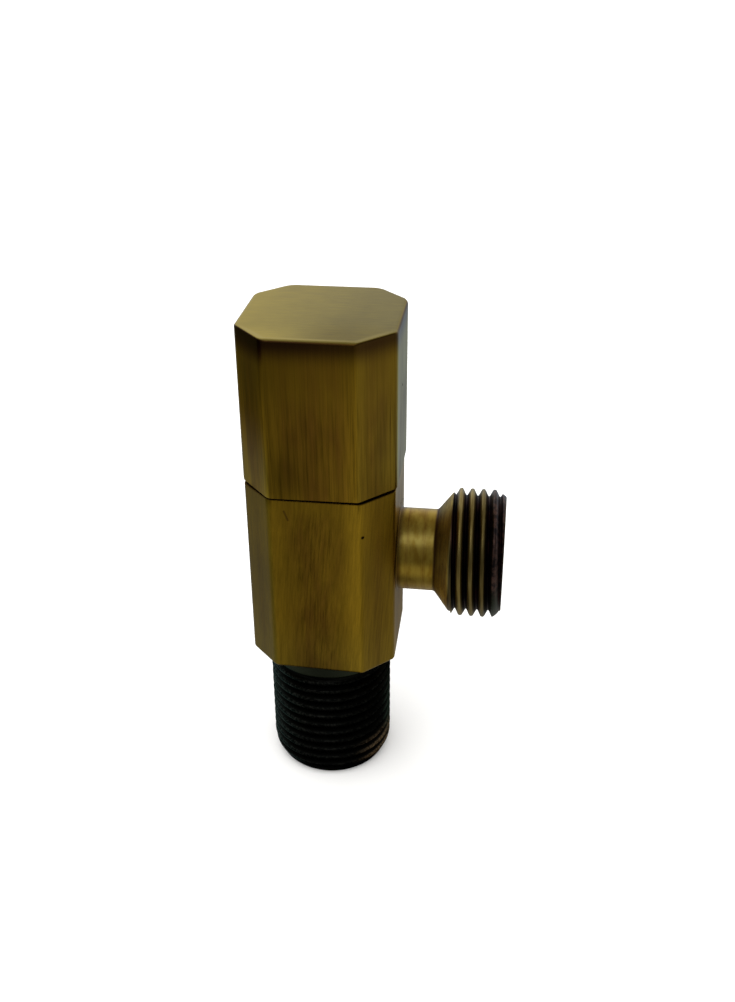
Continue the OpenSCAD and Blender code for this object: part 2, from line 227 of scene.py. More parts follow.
def helix(shell, angles, start, end, centre, pitch, samples, radius, place, inside=False):
    """A threaded band from start to end along its axis, on a grid that follows the helix.

    radius(angles, along) gives the surface and place(angles, radius, along) the points.
    The grid is clamped at both ends, and merging closes it.
    """
    first = int(math.floor((start - centre) / pitch)) - 2
    last = int(math.ceil((end - centre) / pitch)) + 2
    rows = []
    for k in range(first, last):
        for s in samples:
            along = np.clip(centre + (k + s) * pitch + pitch * angles / TAU, start, end)
            rows.append(shell.ring(place(angles, radius(angles, along), along)))

    def quad(*ids):
        ids = tuple(int(i) for i in ids)
        shell.faces.append(ids[::-1] if inside else ids)

    turn = len(samples)  # rows in one pitch: the seam joins a row to the one a turn later
    for i in range(len(rows) - 1):
        low, high = rows[i], rows[i + 1]
        for j in range(len(angles) - 1):
            quad(low[j], low[j + 1], high[j + 1], high[j])
        if i + turn + 1 < len(rows):
            quad(low[-1], rows[i + turn][0], rows[i + turn + 1][0], high[-1])


def soft_min(a, b, rounding):
    """The lesser of a and b, with the corner between them rounded off."""
    least = np.minimum(a, b)
    spread = np.exp(-(a - least) / rounding) + np.exp(-(b - least) / rounding)
    return least - rounding * np.log(spread)


def smooth_step(start, end, x):
    t = np.clip((np.asarray(x, float) - start) / (end - start), 0, 1)
    return t * t * (3 - 2 * t)


TO_X = Matrix(((0, 0, 1, 0), (1, 0, 0, 0), (0, 1, 0, 0), (0, 0, 0, 1)))
TO_Y = Matrix.Rotation(math.radians(-90), 4, "X")


def turned_cutter(name, profile, turn, height, segments):
    """A solid turned from (radius, distance) points that start and end on its axis."""
    shell = Shell()
    angles = np.arange(segments) * TAU / segments
    rings = [shell.ring(around_z(angles, r, z)) for r, z in profile[1:-1]]
    shell.fan(rings[0], (0, 0, profile[0][1]), flip=True)
    shell.loft(rings)
    shell.fan(rings[-1], (0, 0, profile[-1][1]))
    mesh = shell.to_mesh(name)
    mesh.transform(turn)
    mesh.transform(Matrix.Translation(Vector((0, 0, height)) * MM))
    return new_object(name, mesh)


def pit_cutter(x, y, z, radius, *stretch):
    """A small irregular ball that cuts a surface hollow."""
    bm = bmesh.new()
    bmesh.ops.create_icosphere(bm, subdivisions=2, radius=radius * MM)
    rng = np.random.default_rng(int(abs(x * 977 + y * 131 + z * 17)))
    for vert in bm.verts:
        vert.co *= 1 + 0.25 * (rng.random() - 0.5)
        for axis in range(3):
            vert.co[axis] *= stretch[axis]
    bmesh.ops.translate(bm, verts=bm.verts, vec=Vector((x, y, z)) * MM)
    mesh = bpy.data.meshes.new("pit")
    bm.to_mesh(mesh)
    bm.free()
    return new_object("pit", mesh)


# ------------------------------------------------------------------ valve body
def barrel(shell, outline):
    """Octagonal wall, open over the outlet's flat. Returns its end rings and the flat's border."""
    low_round, top_round = 0.40, 0.09
    first, last = CORNER_STEPS, CORNER_STEPS + WIDE_STEPS  # columns of the outlet's flat
    flat_half = outline[last][1]

    def ring(inset, z):
        return shell.ring(oct_ring(BODY_HALF, BODY_CUT, BODY_RADII, inset, z))

    tilt = -0.022 * outline[:, 0]  # the lower rim drops to the right, and levels out above
    low = [
        ring(low_round * (1 - math.sin(t)), BODY_LOW + tilt + low_round * (1 - math.cos(t)))
        for t in np.linspace(0, QUARTER, 7)
    ]
    for left, rise in ((0.8, 0.25), (0.5, 0.55), (0.2, 0.85), (0.0, 1.15)):
        low.append(ring(0, BODY_LOW + low_round + tilt * left + 0.45 * rise))
    z_low, z_high = BODY_LOW + low_round + 0.45 * 1.15, BODY_TOP - top_round
    # rows at even angles about the outlet's axis
    ends = [math.atan2(z - OUT_Z, flat_half) for z in (z_low, z_high)]
    rows = [OUT_Z + flat_half * math.tan(a) for a in np.linspace(*ends, 42)]
    wall = [low[-1]] + [ring(0, z) for z in rows[1:-1]]
    high = [
        ring(top_round * (1 - math.cos(t)), z_high + top_round * math.sin(t))
        for t in np.linspace(0, QUARTER, 4)
    ]
    wall.append(high[0])
    shell.loft(low)
    shell.loft(wall, skip=range(first, last))
    shell.loft(high)
    border = (
        [row[last] for row in wall]
        + [wall[-1][i] for i in range(last - 1, first, -1)]
        + [row[first] for row in reversed(wall)]
        + [wall[0][i] for i in range(first + 1, last)]
    )
    return low[0], high[-1], border


def outlet(shell, border):
    """Filleted neck, cone, thread and end face, grown from the border of the outlet's flat."""
    points = np.vstack(shell.points)[border]
    angles = np.unwrap(np.arctan2(points[:, 2] - OUT_Z, points[:, 1]))
    start = int(np.argmin(np.abs((angles + math.pi) % TAU - math.pi)))
    border, angles = np.roll(border, -start), np.unwrap(np.roll(angles, -start))
    angles -= round(angles[0] / TAU) * TAU

    fillet, cone_slope, cone_fillet, cone_end = 0.3, 1.25, 0.09, 19.3
    thread_centre = 22.3 - PITCH / 2
    rim = 0.12  # rounding of the end face

    def cone(x):
        grown = np.log1p(np.exp((x - NECK_X) / cone_fillet))
        return NECK_R + cone_slope * grown * cone_fillet

    def surface(angles, x):
        turns = (x - thread_centre) / PITCH - angles / TAU
        radius = THREAD_R - thread_depth(turns) * smooth_step(19.9, 20.9, x)
        # a low shoulder between the cone and the first full thread
        shoulder = 9.82 - 0.10 * np.sin(angles) + 3.0 * np.clip(x - 20.95, 0, 9)
        radius = soft_min(radius, soft_min(cone(x), shoulder, 0.08), 0.035)
        chamfer = 9.36 + (END_X - x) * 0.85
        return soft_min(radius, chamfer, 0.10)

    rings = [border]
    for t in np.linspace(0, QUARTER, 6):
        radius, x = NECK_R + fillet * (1 - math.sin(t)), BODY_HALF + fillet * (1 - math.cos(t))
        rings.append(shell.ring(around_outlet(angles, radius, x)))
    neck_x = (13.2, 14.2, 15.4, 16.6, 17.4, 17.75, 17.9, 18.0, 18.08, 18.16, 18.24, 18.34, 18.5, 18.8)
    for x in (*neck_x, cone_end):
        rings.append(shell.ring(around_outlet(angles, cone(x), x)))
    shell.loft(rings)
    rim_x = END_X - rim
    helix(
        shell, angles, cone_end, rim_x, thread_centre, PITCH, FORM_SAMPLES, surface, around_outlet
    )
    edge = surface(angles, np.full(len(angles), rim_x))
    rings = [shell.ring(around_outlet(angles, edge, rim_x))]
    for t in (0.5, 1.0):
        x = END_X - rim * (1 - math.sin(t * math.pi / 2))
        rings.append(shell.ring(around_outlet(angles, edge - rim * t, x)))
    rings.append(shell.ring(around_outlet(angles, 8.2, END_X)))
    shell.loft(rings)
    shell.fan(rings[-1], (END_X, 0, OUT_Z))


# The inlet's chamfered lower end: height, and greatest radius there.
INLET_END_Z = [0, 0.25, 0.5, 1.0, 1.5, 2.0, 3.0]
INLET_END_R = [9.16, 9.40, 9.55, 9.80, 10.05, 10.28, THREAD_R]
# Collar from the inlet up to the barrel: radius, z.
COLLAR = [
    (THREAD_R, 22.8), (THREAD_R, BODY_LOW - 0.25), (THREAD_R + 0.07, BODY_LOW - 0.07),
    (THREAD_R + 0.25, BODY_LOW),
]  # fmt: skip
# Inlet bore, seat and chamber, from the bottom up: radius, z.
BORE = [
    (7.45, 0), (7.30, 0.06), (7.25, 0.2), (7.25, 30.9), (7.1, 31.3), (4.6, 31.3), (4.5, 31.4),
    (4.5, 34.2), (4.6, 34.3), (8.6, 34.3), (8.6, 48.29), (8.6, FEMALE_LOW),
]  # fmt: skip
# Counterbore above the female thread: radius, z.
COUNTERBORE = [
    (9.05, FEMALE_TOP), (9.05, BODY_TOP - 1.5), (10.3, BODY_TOP - 1.5), (10.3, BODY_TOP - 0.12),
    (10.42, BODY_TOP),
]  # fmt: skip


def inlet(shell, around, barrel_ring):
    """Thread, groove and collar below the barrel. Returns the inner ring of the end face."""
    end_z, thread_top = 0.1, 21.9
    centre = 0.73
    angles = around - around[0]  # the helix grid starts at its own first column

    def surface(angles, z):
        turns = (z - centre) / PITCH - (angles + around[0]) / TAU
        radius = THREAD_R - thread_depth(turns) * (1 - smooth_step(20.5, 21.4, z))
        groove = 0.42 * np.exp(-(((z - 21.35) / 0.24) ** 2))
        return np.minimum(radius - groove, np.interp(z, INLET_END_Z, INLET_END_R))

    helix(
        shell, angles, end_z, thread_top, centre + PITCH * around[0] / TAU, PITCH, FORM_SAMPLES,
        surface, lambda a, r, z: around_z(a + around[0], r, z),
    )  # fmt: skip
    collar = [(THREAD_R, thread_top)] + COLLAR
    shell.loft([shell.ring(around_z(around, r, z)) for r, z in collar] + [barrel_ring])
    edge = surface(angles, np.full(len(around), end_z))
    outer = shell.ring(around_z(around, edge, end_z))
    inner = shell.ring(around_z(around, edge - 0.1, 0))
    shell.strip(inner, outer)
    return inner


def cavity(shell, around, bottom_ring, top_ring):
    """Everything inside the body: bore, seat, chamber, female thread and counterbore."""
    pitch, crest_z = 1.0, 49.0
    root_r, bore_r = 9.05, 8.6

    def surface(angles, z):
        across = from_crest(z - crest_z - (angles + around[0]) / TAU) * 2
        fade_in, fade_out = smooth_step(FEMALE_LOW, 49.0, z), smooth_step(54.0, FEMALE_TOP, z)
        radius = root_r - 0.6 * np.clip(across * 1.25 - 0.15, 0, 1) * (1 - fade_out)
        return bore_r * (1 - fade_in) + radius * fade_in

    bore = [shell.ring(around_z(around, r, z)) for r, z in BORE]
    shell.loft([bottom_ring] + bore, inward=True)
    helix(
        shell, around - around[0], FEMALE_LOW, FEMALE_TOP, crest_z + around[0] / TAU, pitch,
        FEMALE_SAMPLES, surface, lambda a, r, z: around_z(a + around[0], r, z), inside=True,
    )  # fmt: skip
    mouth = [shell.ring(around_z(around, r, z)) for r, z in COUNTERBORE]
    shell.loft(mouth + [top_ring], inward=True)


def body_mesh():
    shell = Shell()
    outline = oct_ring(BODY_HALF, BODY_CUT, BODY_RADII, 0, 0)
    around = ring_angles(outline)
    low_ring, top_ring, border = barrel(shell, outline)
    outlet(shell, border)
    end_ring = inlet(shell, around, low_ring)
    cavity(shell, around, end_ring, top_ring)
    return shell.to_mesh("valve_body_visual")


# The outlet's bore and its flared mouth: radius, x.
OUTLET_BORE = [
    (0, 5.0), (5.0, 5.0), (5.0, END_X - 0.5), (5.06, END_X - 0.36), (5.5, END_X),
    (6.0, END_X + 0.5), (0, END_X + 0.5),
]  # fmt: skip

body = new_object("valve_body_shell", body_mesh())
bore_cutter = turned_cutter("bore_cutter", OUTLET_BORE, TO_X, OUT_Z, 96)
cut(body, [bore_cutter] + [pit_cutter(*pit) for pit in BODY_PITS])
shade(body)
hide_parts("valve_body")
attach(body, "valve")


# ------------------------------------------------------------------ handle
# Inner wall from the blind end down towards the mouth: radius, z.
HAND_BORE = [
    (6.05, 80.3), (6.05, 68.65), (6.2, 68.5), (10.15, 68.5), (10.3, 68.35), (10.3, HAND_LOW + 0.6),
]  # fmt: skip
# Grub screw hole in the front: radius, distance along Y (the pieces are alike on both sides of 0).
GRUB_HOLE = [
    (0, 4.0), (2.5, 4.0), (2.5, HAND_HALF - 0.25), (2.78, HAND_HALF + 0.03),
    (3.2, HAND_HALF + 0.5), (0, HAND_HALF + 0.5),
]  # fmt: skip
GRUB_HOLE_Z = 74.3
CROWN_SCALES = (0.97, 0.93, 0.86, 0.77, 0.67, 0.56, 0.45, 0.34, 0.23, 0.12)


def handle_mesh():
    shell = Shell()
    deepest, low_round, crown = 0.6, 0.10, 0.05
    outline = oct_ring(HAND_HALF, HAND_CUT, HAND_RADII, 0, 0)
    inner = oct_ring(HAND_HALF, HAND_CUT, HAND_RADII, deepest, 0)
    # the left front chamfer is a little broader than the others
    flat = HAND_HALF - HAND_CUT
    shift = deepest * np.clip((-flat - outline[:, 0]) / HAND_CUT, 0, 1)
    shift *= np.clip((3.0 - outline[:, 1]) / (3.0 + flat), 0, 1)
    outline[:, 1] += shift
    inner[:, 1] += shift
    angles = ring_angles(outline)
    # 1 on the four wide faces, 0 on the four narrow ones, blended round the corners
    wide = []
    blend = np.arange(CORNER_STEPS + 1) / CORNER_STEPS
    for k in range(8):
        if k % 2 == 0:
            wide += [*blend] + [1] * (WIDE_STEPS - 1)
        else:
            wide += [*(1 - blend)] + [0] * (NARROW_STEPS - 1)
    top_round = 0.26 + 0.34 * np.array(wide)
    z_edge = HAND_TOP - crown
    # the lower rim stands a little off level, nearer the body on the left
    z_rim = HAND_LOW + 0.30 * np.clip((outline[:, 0] + 10) / 20, 0, 1)

    def ring(inset, z, scale=1.0):
        share = np.broadcast_to(inset, len(outline)) / deepest
        points = outline + (inner - outline) * share[:, None]
        points[:, 2] = z
        points[:, :2] *= scale
        return shell.ring(points)

    blind = shell.ring(around_z(angles, 5.95, 80.4))
    shell.fan(blind, (0, 0, 80.4), flip=True)
    mouth = [(10.3, z_rim + 0.2), (10.5, z_rim)]
    bore = [blind] + [shell.ring(around_z(angles, r, z)) for r, z in HAND_BORE + mouth]
    shell.loft(bore, inward=True)
    rings = [bore[-1]]
    for t in np.linspace(0, QUARTER, 5):
        rings.append(ring(low_round * (1 - math.sin(t)), z_rim + low_round * (1 - math.cos(t))))
    wall_low, wall_top = z_rim + low_round, z_edge - top_round
    for t in np.linspace(0, 1, 26)[1:]:
        rings.append(ring(0, wall_low + (wall_top - wall_low) * t))
    for t in np.linspace(0, QUARTER, 8)[1:]:
        rings.append(ring(top_round * (1 - math.cos(t)), wall_top + top_round * math.sin(t)))
    for scale in CROWN_SCALES:
        rings.append(ring(top_round, z_edge + crown * (1 - scale**2.2), scale))
    shell.loft(rings)
    shell.fan(rings[-1], (0, 0, HAND_TOP))
    return shell.to_mesh("handle_visual")


handle = new_object("handle_shell", handle_mesh())
grub_cutter = turned_cutter("grub_cutter", GRUB_HOLE, TO_Y, GRUB_HOLE_Z, 64)
cut(handle, [grub_cutter] + [pit_cutter(*pit) for pit in HAND_PITS])
handle.data.transform(Matrix.Rotation(HAND_TURN, 4, "Z"))
shade(handle)
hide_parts("handle")
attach(handle, "rotor")


# ------------------------------------------------------------------ node building
class Signal:
    """A node's output. Arithmetic on it adds Math nodes."""

    def __init__(self, owner, socket):
        self.owner, self.socket = owner, socket

    def __add__(self, other):
        return self.owner.math("ADD", self, other)

    def __sub__(self, other):
        return self.owner.math("SUBTRACT", self, other)

    def __rsub__(self, other):
        return self.owner.math("SUBTRACT", other, self)

    def __mul__(self, other):
        return self.owner.math("MULTIPLY", self, other)

    def sibling(self, name):
        """Another output of the same node."""
        return Signal(self.owner, self.socket.node.outputs[name])


class Nodes:
    """Short forms for building the nodes of a material or a world."""

    def __init__(self, block, output):
        self.block = block
        block.use_nodes = True
        self.tree = block.node_tree
        self.tree.nodes.clear()
        self.output = self.tree.nodes.new("ShaderNode" + output)

    def put(self, socket, value):
        if isinstance(value, Signal):
            self.tree.links.new(value.socket, socket)
            return
        if socket.type == "RGBA" and len(value) == 3:
            value = (*value, 1)
        socket.default_value = value

    def add(self, kind, inputs=(), output=0, **props):
        """A new node. Inputs are a list in order, or a dict by name or index."""
        node = self.tree.nodes.new("ShaderNode" + kind)
        for key, value in props.items():
            setattr(node, key, value)
        for key, value in inputs.items() if isinstance(inputs, dict) else enumerate(inputs):
            self.put(node.inputs[key], value)
        return Signal(self, node.outputs[output])

    def finish(self, shader):
        self.put(self.output.inputs["Surface"], shader)
        return self.block

    def math(self, operation, *values, clamp=False):
        return self.add("Math", values, operation=operation, use_clamp=clamp)

    def hypot(self, a, b):
        return self.math("SQRT", a * a + b * b)

    def clip(self, x, limit):
        return self.math("MAXIMUM", self.math("MINIMUM", x, limit), -limit)

    def ramp(self, x, start, end, first=0.0, last=1.0, soft=True):
        """Goes from first to last as x goes from start to end, held at both ends."""
        if start > end:
            start, end, first, last = end, start, last, first
        inputs = {
            "Value": x, "From Min": start, "From Max": end, "To Min": first, "To Max": last,
        }  # fmt: skip
        kind = "SMOOTHSTEP" if soft else "LINEAR"
        return self.add("MapRange", inputs, "Result", interpolation_type=kind, clamp=True)

    def bell(self, x, centre, width):
        """Bell curve, 1 at the centre."""
        away = x - centre
        return self.math("EXPONENT", away * away * (-0.5 / width**2))

    def vec(self, x, y, z):
        return self.add("CombineXYZ", [x, y, z])

    def split(self, vector):
        x = self.add("SeparateXYZ", [vector])
        return x, x.sibling("Y"), x.sibling("Z")

    def noise(self, vector, scale=1.0, detail=3.0, rough=0.5):
        inputs = {"Vector": vector, "Scale": scale, "Detail": detail, "Roughness": rough}
        return self.add("TexNoise", inputs, "Fac", noise_dimensions="3D")

    def mix(self, amount, a, b):
        """Colour a to colour b."""
        props = {"data_type": "RGBA", "blend_type": "MIX", "clamp_factor": True}
        return self.add("Mix", {0: amount, 6: a, 7: b}, 2, **props)

    def blend(self, amount, a, b):
        """Number a to number b."""
        return self.add("Mix", {0: amount, 2: a, 3: b}, data_type="FLOAT", clamp_factor=True)

    def scale(self, colour, factor):
        return self.add("VectorMath", {0: colour, "Scale": factor}, operation="SCALE")

    def tint(self, colour, amount, by):
        """Colour times by, by amount."""
        return self.mix(amount, colour, self.add("VectorMath", [colour, by], operation="MULTIPLY"))

    def object_mm(self, turn=0.0):
        """Object coordinates in mm, turned about Z."""
        point = self.scale(self.add("TexCoord", output="Object"), 1000.0)
        if turn:
            inputs = {"Vector": point, "Angle": turn}
            point = self.add("VectorRotate", inputs, rotation_type="Z_AXIS")
        return point

    def facing(self, x, y, start=0.80, end=0.97):
        """1 where the surface faces (x, y, 0) in the object's own frame."""
        length = math.hypot(x, y)
        normal = self.add("TexCoord", output="Normal")
        inputs = [normal, (x / length, y / length, 0.0)]
        along = self.add("VectorMath", inputs, "Value", operation="DOT_PRODUCT")
        return self.ramp(along, start, end)

    def spot(self, point, colour, centre, radius, amount=0.85, stain=(0.012, 0.006, 0.003)):
        """A dark dot, for a pit or a stain."""
        away = self.add("VectorMath", [point, centre], "Value", operation="DISTANCE")
        mask = self.ramp(away, radius * 1.6, radius * 0.8, first=0.0, last=amount)
        return self.mix(mask, colour, stain)

    def bump(self, height, distance, strength=0.5):
        return self.add("Bump", {"Height": height, "Distance": distance, "Strength": strength})

    def surface(self, colour, rough, normal, metallic=1.0, sheen=None):
        """Finishes the material with a Principled shader. Sheen is its specular tint."""
        inputs = {
            "Base Color": colour, "Roughness": rough, "Metallic": metallic, "Normal": normal,
        }  # fmt: skip
        if sheen is not None:
            inputs["Specular Tint"] = sheen
        return self.finish(self.add("BsdfPrincipled", inputs))


def material(name):
    return Nodes(bpy.data.materials.new(name), "OutputMaterial")


# ------------------------------------------------------------------ antique brass, both shells
# Colours, linear
BRIGHT = (0.365, 0.225, 0.016)
MIDTONE = (0.300, 0.178, 0.0145)
BROWN = (0.190, 0.094, 0.0130)
UMBER = (0.048, 0.019, 0.009)
WHITE = (1, 1, 1)
GRAIN_BUMP = 0.000018  # metres

# Brushing: scale across, scale along Z (None: given), seed offset, noise detail and roughness.
BRUSHING = [(3.4, None, 0, 3.0, 0.8), (1.6, 0.11, 7, 2.0, 0.6), (0.26, 0.09, 13, 2.0, 0.5)]


def octagon_depths(mat, x, y, half, leg):
    """Distances outside the X flats, the Y flats and the cut corners: negative inside."""
    abs_x, abs_y = mat.math("ABSOLUTE", x), mat.math("ABSOLUTE", y)
    to_cut = (2 * half - leg) / math.sqrt(2)
    return abs_x - half, abs_y - half, (abs_x + abs_y) * 0.70711 - to_cut


def edge_depth(mat, flat_x, flat_y, corner):
    """The second greatest depth: 0 at an upright edge, negative away from it."""
    low, high = mat.math("MINIMUM", flat_x, flat_y), mat.math("MAXIMUM", flat_x, flat_y)
    return mat.math("MAXIMUM", low, mat.math("MINIMUM", high, corner))


def brushed(mat, x, y, z, tilt, seed, along):
    """Fine, streaky and broad noise, drawn out along Z."""
    x, y = x + z * tilt, y + z * (tilt * 0.6)
    return [
        mat.noise(
            mat.vec(x * across, y * across, z * (lengthwise or along) + (seed + offset)),
            detail=detail,
            rough=rough,
        )
        for across, lengthwise, offset, detail, rough in BRUSHING
    ]


def patina(mat, grain, near, keep, soft):
    """Amount of brown: soft patches grained by the brushing, keep of it left at upright edges."""
    fine, streak, broad = grain
    patches = broad * 0.56 + (streak * 0.26 + fine * 0.18)
    return mat.ramp(patches, 0.49 - soft, 0.49 + soft) * mat.blend(near, 1.0, keep)


# ------------------------------------------------------------------ handle material
TOP_LEFT_REFLECTED, TOP_RIGHT_REFLECTED = (0.366, 0.285, 0.047), (0.300, 0.243, 0.062)
TOP_EDGE, TOP_FRONT_HIGHLIGHT = (0.36, 0.265, 0.040), (0.52, 0.42, 0.125)
HAND_INSIDE = (0.14, 0.095, 0.028)


def handle_side(mat, x, y, z, grain, depths, front_left):
    """Colour of the brushed sides, with painted highlight, reflection and shade, and the amount of
    brown on them.
    """
    fine, streak, _ = grain
    depth = edge_depth(mat, *depths)
    edge, near = mat.ramp(depth, -0.75, -0.03), mat.ramp(depth, -2.4, -0.5)
    front_right = mat.facing(1, -1)
    brown = patina(mat, grain, near, keep=0.5, soft=0.155)
    brown = brown * mat.ramp(z, HAND_TOP - 3.0, HAND_TOP - 16.0, first=0.45, last=0.95)
    side = mat.mix(brown, MIDTONE, BROWN)
    # painted highlight along the upright edges
    side = mat.mix(near * 0.45, side, BRIGHT)
    side = mat.mix(edge * 0.35, side, BRIGHT)

    # painted reflection and highlight: lighter to the right and near the middle, with a highlight
    # band by the front right edge below the top; darker low on the left and under the top's edge
    light = mat.clip(x, 7.0) * 0.020 + 1.16
    low_left = mat.bell(x, centre=-3.6, width=4.4)
    low_left = low_left * mat.bell(z + streak * 3.0, centre=61.8, width=4.6)
    light = light + mat.bell(x, centre=1.2, width=3.4) * 0.17 - low_left * 0.48
    high_left = mat.bell(x, centre=-5.2, width=2.6) * mat.bell(z, centre=77.0, width=4.0)
    light = light - high_left * 0.12
    below_top = mat.ramp(z, HAND_TOP - 3.5, HAND_TOP - 9.0, first=0.0, last=0.11)
    light = light + mat.bell(x, centre=6.2, width=0.75) * below_top
    side = mat.scale(side, light)

    # painted reflection: each face tinted for what it mirrors, the front left chamfer lit brighter
    # near the foot
    side = mat.tint(side, front_right, by=(0.78, 0.82, 1.0))
    side = mat.tint(side, mat.facing(1, 0, 0.9, 0.98), by=(0.85, 1.15, 2.2))
    foot_light = mat.ramp(z, HAND_LOW + 14.0, HAND_LOW + 1.0, first=1.0, last=1.90)
    side = mat.mix(front_left, side, mat.scale(side, foot_light))
    foot = mat.ramp(z, HAND_LOW + 14.0, HAND_LOW + 1.0)
    side = mat.tint(side, front_left * foot, by=(0.92, 1.10, 1.25))
    patch = mat.bell(z, centre=64.0, width=5.0) * mat.ramp(x, 8.5, 10.5)
    side = mat.tint(side, front_right * patch, by=(0.95, 1.01, 1.2))

    # brushing, stronger lower down, then painted shade in a dark band under the top
    worn = mat.ramp(z, HAND_TOP - 4.0, HAND_TOP - 15.0, first=0.45, last=1.15)
    contrast = (fine - 0.5) * 1.75 + (streak - 0.5) * 0.9
    side = mat.scale(side, contrast * worn + 1.0)
    painted_dark_band = mat.math("POWER", mat.ramp(z, HAND_TOP - 5.4, HAND_TOP - 0.75), 1.7)
    side = mat.mix(painted_dark_band * (mat.ramp(x, 6.0, -4.0) * 0.10 + 0.84), side, UMBER)
    # painted shade high on the front left chamfer
    top_left = front_left * mat.ramp(z, HAND_TOP - 5.0, HAND_TOP - 1.5)
    return mat.tint(side, top_left, by=(0.36, 0.20, 0.50)), brown


def handle_top(mat, x, y, normal_z, depths):
    """Colour of the satin top, brushed along X, with painted reflection and highlight, and its
    brushing.
    """
    flat_x, flat_y, corner = depths
    brushing = mat.noise(mat.vec(x * 0.22, y * 4.0, 2.0), detail=4.0, rough=0.65)
    cloud = mat.noise(mat.vec(x * 0.25, y * 0.22, 9.0), detail=3.0, rough=0.55)
    # painted reflection: a soft dark band on the right, deeper towards the front, darker to the right
    # overall, and a light patch front left
    painted_dark_band = mat.bell(x, centre=4.2, width=10 / 3)
    tone = (brushing - 0.5) * 0.85 + (cloud - 0.5) * 0.26
    tone = tone + x * -0.014 - painted_dark_band * (mat.ramp(y, 4.0, -12.0) * 0.26 + 0.03)
    tone = tone + mat.ramp(x, 1.0, -6.0) * mat.ramp(y, -6.0, -11.5) * 0.30
    # painted reflection: the top lighter on the left than on the right
    reflected_top_tone = mat.mix(mat.ramp(x, -11.0, 10.0, soft=False), TOP_LEFT_REFLECTED, TOP_RIGHT_REFLECTED)
    colour = mat.scale(reflected_top_tone, tone + 1.0)
    front = mat.ramp(y, -3.0, -9.0) * mat.ramp(x, -3.0, 4.0)
    colour = mat.tint(colour, front, by=(1.03, 0.99, 0.72))
    # painted reflection: a darker olive tone on the rounded top edge
    rounded = mat.ramp(normal_z, 0.995, 0.90) * mat.ramp(normal_z, 0.55, 0.75)
    colour = mat.mix(rounded * 0.45, colour, TOP_EDGE)
    # painted highlight: a lighter line just inside the front edge
    rim = mat.math("MAXIMUM", mat.math("MAXIMUM", flat_x, flat_y), corner)
    front_highlight = mat.ramp(rim, -1.35, -0.75) * mat.ramp(rim, -0.12, -0.35) * mat.ramp(y, -5.0, -9.0)
    amount = front_highlight * mat.ramp(x, 9.0, -2.0, first=0.35, last=0.75)
    return mat.mix(amount, colour, TOP_FRONT_HIGHLIGHT), brushing


def handle_material():
    mat = material("antique_brass_handle")
    point = mat.object_mm(turn=-HAND_TURN)
    x, y, z = mat.split(point)
    normal_z = mat.split(mat.add("NewGeometry", output="Normal"))[2]
    grain = brushed(mat, x, y, z, tilt=0.010, seed=3.1, along=0.05)
    fine, streak, _ = grain
    depths = octagon_depths(mat, x, y, HAND_HALF, HAND_CUT)
    front_left = mat.facing(-1, -1)
    side, brown = handle_side(mat, x, y, z, grain, depths, front_left)
    top_colour, top_grain = handle_top(mat, x, y, normal_z, depths)
    top = mat.ramp(normal_z, 0.62, 0.95)
    colour = mat.mix(top, side, top_colour)
    below_top = mat.ramp(z, HAND_TOP - 2.2, HAND_TOP - 2.4)
    inside = mat.ramp(mat.hypot(x, y), 11.35, 11.15) * below_top
    colour = mat.mix(inside, colour, HAND_INSIDE)
    for pit in HAND_PITS:
        colour = mat.spot(point, colour, pit[:3], pit[3])
    rough = mat.blend(top, fine * 0.16 + (brown * 0.08 + 0.26), top_grain * 0.16 + 0.32)
    relief = mat.blend(top, fine * 0.7 + streak * 0.5, top_grain)
    duller = front_left * mat.ramp(z, HAND_LOW + 4.0, HAND_LOW + 15.0)
    sheen = mat.mix(duller, WHITE, (0.82, 0.72, 0.50))
    return mat.surface(colour, rough, mat.bump(relief, GRAIN_BUMP), sheen=sheen)


# ------------------------------------------------------------------ body material
# Each pair runs from the first colour to the second with a noise.
NECK_TONES = (0.460, 0.318, 0.046), (0.330, 0.200, 0.022)
CONE_TONES = (0.80, 0.62, 0.17), (0.42, 0.29, 0.09)
CREST_TONES = (0.400, 0.315, 0.115), (0.270, 0.200, 0.062)
VALLEY_TONES = (0.008, 0.008, 0.010), (0.045, 0.016, 0.018)
END_TONES = (0.026, 0.021, 0.022), (0.145, 0.084, 0.068)
FACE_TONES = (0.026, 0.022, 0.019), (0.120, 0.084, 0.036)
INLET_TONES = (0.0035, 0.0038, 0.0036), (0.014, 0.014, 0.012)
INLET_CREST_TONES = (0.010, 0.012, 0.011), (0.088, 0.092, 0.080)
COLLAR_TONES = (0.026, 0.032, 0.020), (0.060, 0.070, 0.048)
BORE_TONES = (0.05, 0.038, 0.016), (0.13, 0.09, 0.03)
CONE_CORNER_SHADE, END_GREEN = (0.055, 0.019, 0.015), (0.020, 0.030, 0.016)
OUTLET_BORE_COLOUR, CHAMBER_COLOUR = (0.12, 0.085, 0.03), (0.20, 0.14, 0.05)
INLET_EDGE_REFLECTION, INLET_RUST = (0.030, 0.044, 0.034), (0.30, 0.215, 0.13)


